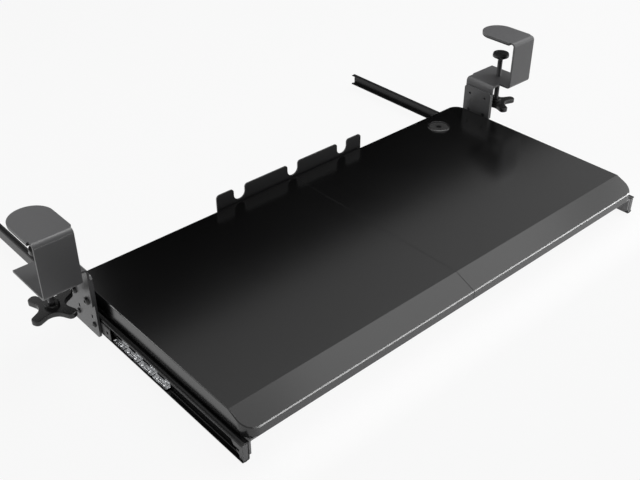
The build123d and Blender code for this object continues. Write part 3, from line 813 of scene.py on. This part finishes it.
class TRAY_OT_clamp_screws(bpy.types.Operator):
    """Makes the clamp screws with their knobs and pressure pads"""

    bl_idname = "keyboard_tray.clamp_screws"
    bl_label = "Clamp screws"

    def execute(self, context):
        for side in SIDES:
            self.screw(side)
            self.knob(side)
            self.pad(side)
            self.disc(side)
        return {"FINISHED"}

    def screw(self, side):
        """A core with a narrow tip, and the ridge of its thread."""
        node = side + "_clamp_screw"
        low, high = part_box(node)
        radius = (high.x - low.x) / 2
        root = radius - 0.00067
        tip = 0.0025
        neck = high.z - 0.004
        core = lathe([(0, low.z), *foot(root, low.z, 0.0004), *shoulder(root, neck, 0.0005),
                      (tip, neck), *shoulder(tip, high.z, 0.0003), (0, high.z)], steps=32)
        ridge = thread(radius, root, sizes().thread_pitch, start=low.z + 0.0115,
                       length=neck - low.z - 0.0125)
        finished(side + "_threaded_screw", turned(merged(core, ridge), over_middle(node)),
                 side + "_screw", "thread", node)

    def knob(self, side):
        """A star with rounded lobes and a round boss on it."""
        node = side + "_clamp_knob"
        low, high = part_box(node)
        top = high.z - low.z
        thickness = top - 0.004
        sunk = thickness - 0.001
        boss = 0.009
        points, radii = star_plan(reach=0.033, lobe=0.0125, valley=0.011, lobe_round=0.0056,
                                  valley_round=0.013)
        star = drawn_out(rounded_face(points, radii), thickness)
        level = [e for e in rim_of(star) if abs(e.verts[0].co.z - e.verts[1].co.z) < LATHE_WELD]
        rounded(star, sizes().knob_edge, segments=3, edges=level)
        whole = merged(star, lathe([(0, sunk), (boss, sunk), *stepped(boss, top, BOSS_SHOULDER),
                                    (0, top)]))
        turned(whole, Matrix.Rotation(KNOB_TURN, 4, "Z"))
        if side == "left":
            turned(whole, Matrix.Scale(-1, 4, (1, 0, 0)))
            bmesh.ops.recalc_face_normals(whole, faces=whole.faces)
        turned(whole, over_middle(side + "_clamp_screw", low.z))
        finished(side + "_star_knob", whole, side + "_screw", "knob", node)

    def pad(self, side):
        """A round plate on a neck that is bored for the screw's tip."""
        node = side + "_clamp_pad"
        low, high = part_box(node)
        radius = (high.x - low.x) / 2
        bore = 0.00258
        bottom = low.z + 0.0045
        neck = 0.006
        step = low.z + 0.004
        plate = lathe([(0, bottom), (bore, bottom), *stepped(bore, low.z, PAD_MOUTH),
                       *foot(neck, low.z, 0.0004), (neck, step), *foot(radius, step, 0.0006),
                       *shoulder(radius, high.z, 0.0006), (0, high.z)], steps=56)
        finished(side + "_pressure_pad", turned(plate, over_middle(node)), side + "_pad",
                 "knob", node)

    def disc(self, side):
        """The pad's rubber disc with ring grooves in its face."""
        node = side + "_pad_rubber"
        low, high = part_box(node)
        radius = (high.x - low.x) / 2
        profile = [(0, low.z), (radius, low.z), *shoulder(radius, high.z, 0.0004)]
        for share in (0.86, 0.69, 0.52, 0.35, 0.18):
            profile += stepped(radius * share, high.z, DISC_GROOVE)
        profile.append((0, high.z))
        disc = turned(lathe(profile, steps=56), over_middle(side + "_clamp_pad"))
        finished(side + "_pad_disc", disc, side + "_pad", "pad", node)


class TRAY_OT_stage(bpy.types.Operator):
    """Makes the floor, the lamps and the camera"""

    bl_idname = "keyboard_tray.stage"
    bl_label = "Stage"

    def execute(self, context):
        scene = context.scene
        look = scene.tray_stage
        low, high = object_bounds()
        self.floor(low.z - 0.0005, look)
        self.world(scene, look)
        # Each lamp's name, place, aim, length and width, and level.
        lamps = (
            ("card", (0.65, 0.02, 0.5), (0.65, 0.02, 0), (2.1, 1.04), look.card),
            ("strip", (1.42, -0.48, 1.7), (1.42, -0.48, 0), (1.5, 0.7), look.strip),
            ("strip", (1.42, -0.48, 1.7), (1.42, -0.48, 0), (0.8, 0.7), look.strip * 4),
            ("overhead", (0.7, 0.3, 1.7), (0.7, 0.3, 0), (1.6, 0.9), look.overhead),
            ("glow", (-0.24, 0.78, 0.5), (-0.4, 0.04, 0), (0.42, 0.45), look.card),
            ("right", (1.05, -0.55, 0.15), (0.4, 0, -0.05), (0.9, 0.7), look.front * 0.25),
            ("edge", (-0.98, 0.55, 0.17), (-0.4, -0.05, -0.12), (0.65, 0.14), look.side),
            ("lip", (0.08, -0.31, -0.12), (0.08, -0.258, -0.1335), (0.86, 0.007),
             look.front * 7.5),
        )
        for values in lamps:
            self.lamp(*values)
        self.camera(scene)
        scene.view_settings.view_transform = "Standard"
        return {"FINISHED"}

    def floor(self, height, look):
        """A wide floor that is lit in its own colour, and shows nearly white where it is seen."""
        shape = bmesh.new()
        bmesh.ops.create_grid(shape, x_segments=1, y_segments=1, size=30,
                              matrix=Matrix.Translation((0, 0, height)))
        mesh = bpy.data.meshes.new("floor")
        shape.to_mesh(mesh)
        shape.free()
        floor = bpy.data.objects.new("floor", mesh)
        bpy.context.scene.collection.objects.link(floor)
        s = new_shader("studio_floor")
        seen = (s.node("ShaderNodeLightPath", output="Is Camera Ray")
                + s.node("ShaderNodeLightPath", output="Is Glossy Ray")
                + s.node("ShaderNodeLightPath", output="Is Transmission Ray"))
        plain = s.node("ShaderNodeBsdfDiffuse", {}, {"Color": tuple(look.floor) + (1,)})
        glow = s.node("ShaderNodeEmission", {}, {"Color": (1, 1, 1, 1), "Strength": 1.0})
        mixed = s.node("ShaderNodeMixShader", {}, {0: seen * FLOOR_WHITE, 1: plain, 2: glow})
        s.node("ShaderNodeOutputMaterial", {}, {"Surface": mixed})
        mesh.materials.append(s.owner)
        floor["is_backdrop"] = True

    def world(self, scene, look):
        """Soft light from all round, with a dark zone that the back of the board mirrors."""
        s = Shader(bpy.data.worlds.new("studio"))
        scene.world = s.owner
        where = s.node("ShaderNodeTexCoord", output="Generated")
        beyond = s.node("ShaderNodeVectorMath", {"operation": "DOT_PRODUCT"},
                        {0: where, 1: (0, 0.691, -0.723)}, "Value")
        across = s.node("ShaderNodeSeparateXYZ", {}, {0: where}, "X")
        dark = s.steps(beyond, -0.3, -0.12) * s.steps(across, -0.1, 0.1)
        glossy = s.node("ShaderNodeLightPath", output="Is Glossy Ray")
        camera = s.node("ShaderNodeLightPath", output="Is Camera Ray")
        surround = look.surround - dark * look.surround
        level = look.fill + glossy * (surround - look.fill)
        strength = level + camera * (WORLD_WHITE - level)
        back = s.node("ShaderNodeBackground", {}, {"Color": (1, 1, 1, 1), "Strength": strength})
        s.node("ShaderNodeOutputWorld", {}, {"Surface": back})

    def lamp(self, name, place, aim, size, level):
        """A soft lamp whose face is as bright as the level, where 1 is a lit white card."""
        light = bpy.data.lights.new(name, "AREA")
        light.shape = "RECTANGLE"
        light.size, light.size_y = size
        light.energy = level * math.pi * light.size * light.size_y
        lamp = bpy.data.objects.new(name, light)
        lamp.location = place
        lamp.visible_camera = False
        lamp.rotation_mode = "QUATERNION"
        lamp.rotation_quaternion = (Vector(aim) - Vector(place)).to_track_quat("-Z", "Y")
        bpy.context.scene.collection.objects.link(lamp)

    def camera(self, scene):
        """The camera at the photograph's viewing angle."""
        data = bpy.data.cameras.new("camera")
        data.lens = 51.44
        data.sensor_width = 36
        camera = bpy.data.objects.new("camera", data)
        right = Vector((0.74378, -0.66843, -0.0008))
        down = Vector((-0.37899, -0.42074, -0.82422))
        ahead = Vector((0.5506, 0.61334, -0.56627))
        place = Vector((-0.7262, -0.7862, 0.5503))
        turn = Matrix((right, -down, -ahead)).transposed().to_4x4()
        camera.matrix_world = Matrix.Translation(place) @ turn
        scene.collection.objects.link(camera)
        scene.camera = camera


class TRAY_PT_panel(bpy.types.Panel):
    """Lists the tray's sizes, colours and pieces"""

    bl_idname = "TRAY_PT_panel"
    bl_label = "Keyboard Tray"
    bl_space_type = "VIEW_3D"
    bl_region_type = "UI"
    bl_category = "Keyboard Tray"

    def draw(self, context):
        for name in GROUPS:
            group = getattr(context.scene, name)
            for key in group.__annotations__:
                self.layout.prop(group, key)
        for piece in OPERATORS:
            self.layout.operator(piece.bl_idname)


OPERATORS = (TRAY_OT_board, TRAY_OT_rail, TRAY_OT_grommet, TRAY_OT_slides, TRAY_OT_clamps,
             TRAY_OT_hangers, TRAY_OT_clamp_screws, TRAY_OT_stage)


def register():
    for name, group in GROUPS.items():
        bpy.utils.register_class(group)
        setattr(bpy.types.Scene, name, PointerProperty(type=group))
    for kind in OPERATORS + (TRAY_PT_panel,):
        bpy.utils.register_class(kind)


def unregister():
    for kind in reversed(OPERATORS + (TRAY_PT_panel,)):
        bpy.utils.unregister_class(kind)
    for name, group in GROUPS.items():
        delattr(bpy.types.Scene, name)
        bpy.utils.unregister_class(group)


def main():
    register()
    for piece in ("board", "rail", "grommet", "slides", "clamps", "hangers", "clamp_screws",
                  "stage"):
        getattr(bpy.ops.keyboard_tray, piece)()


if __name__ == "__main__":
    main()
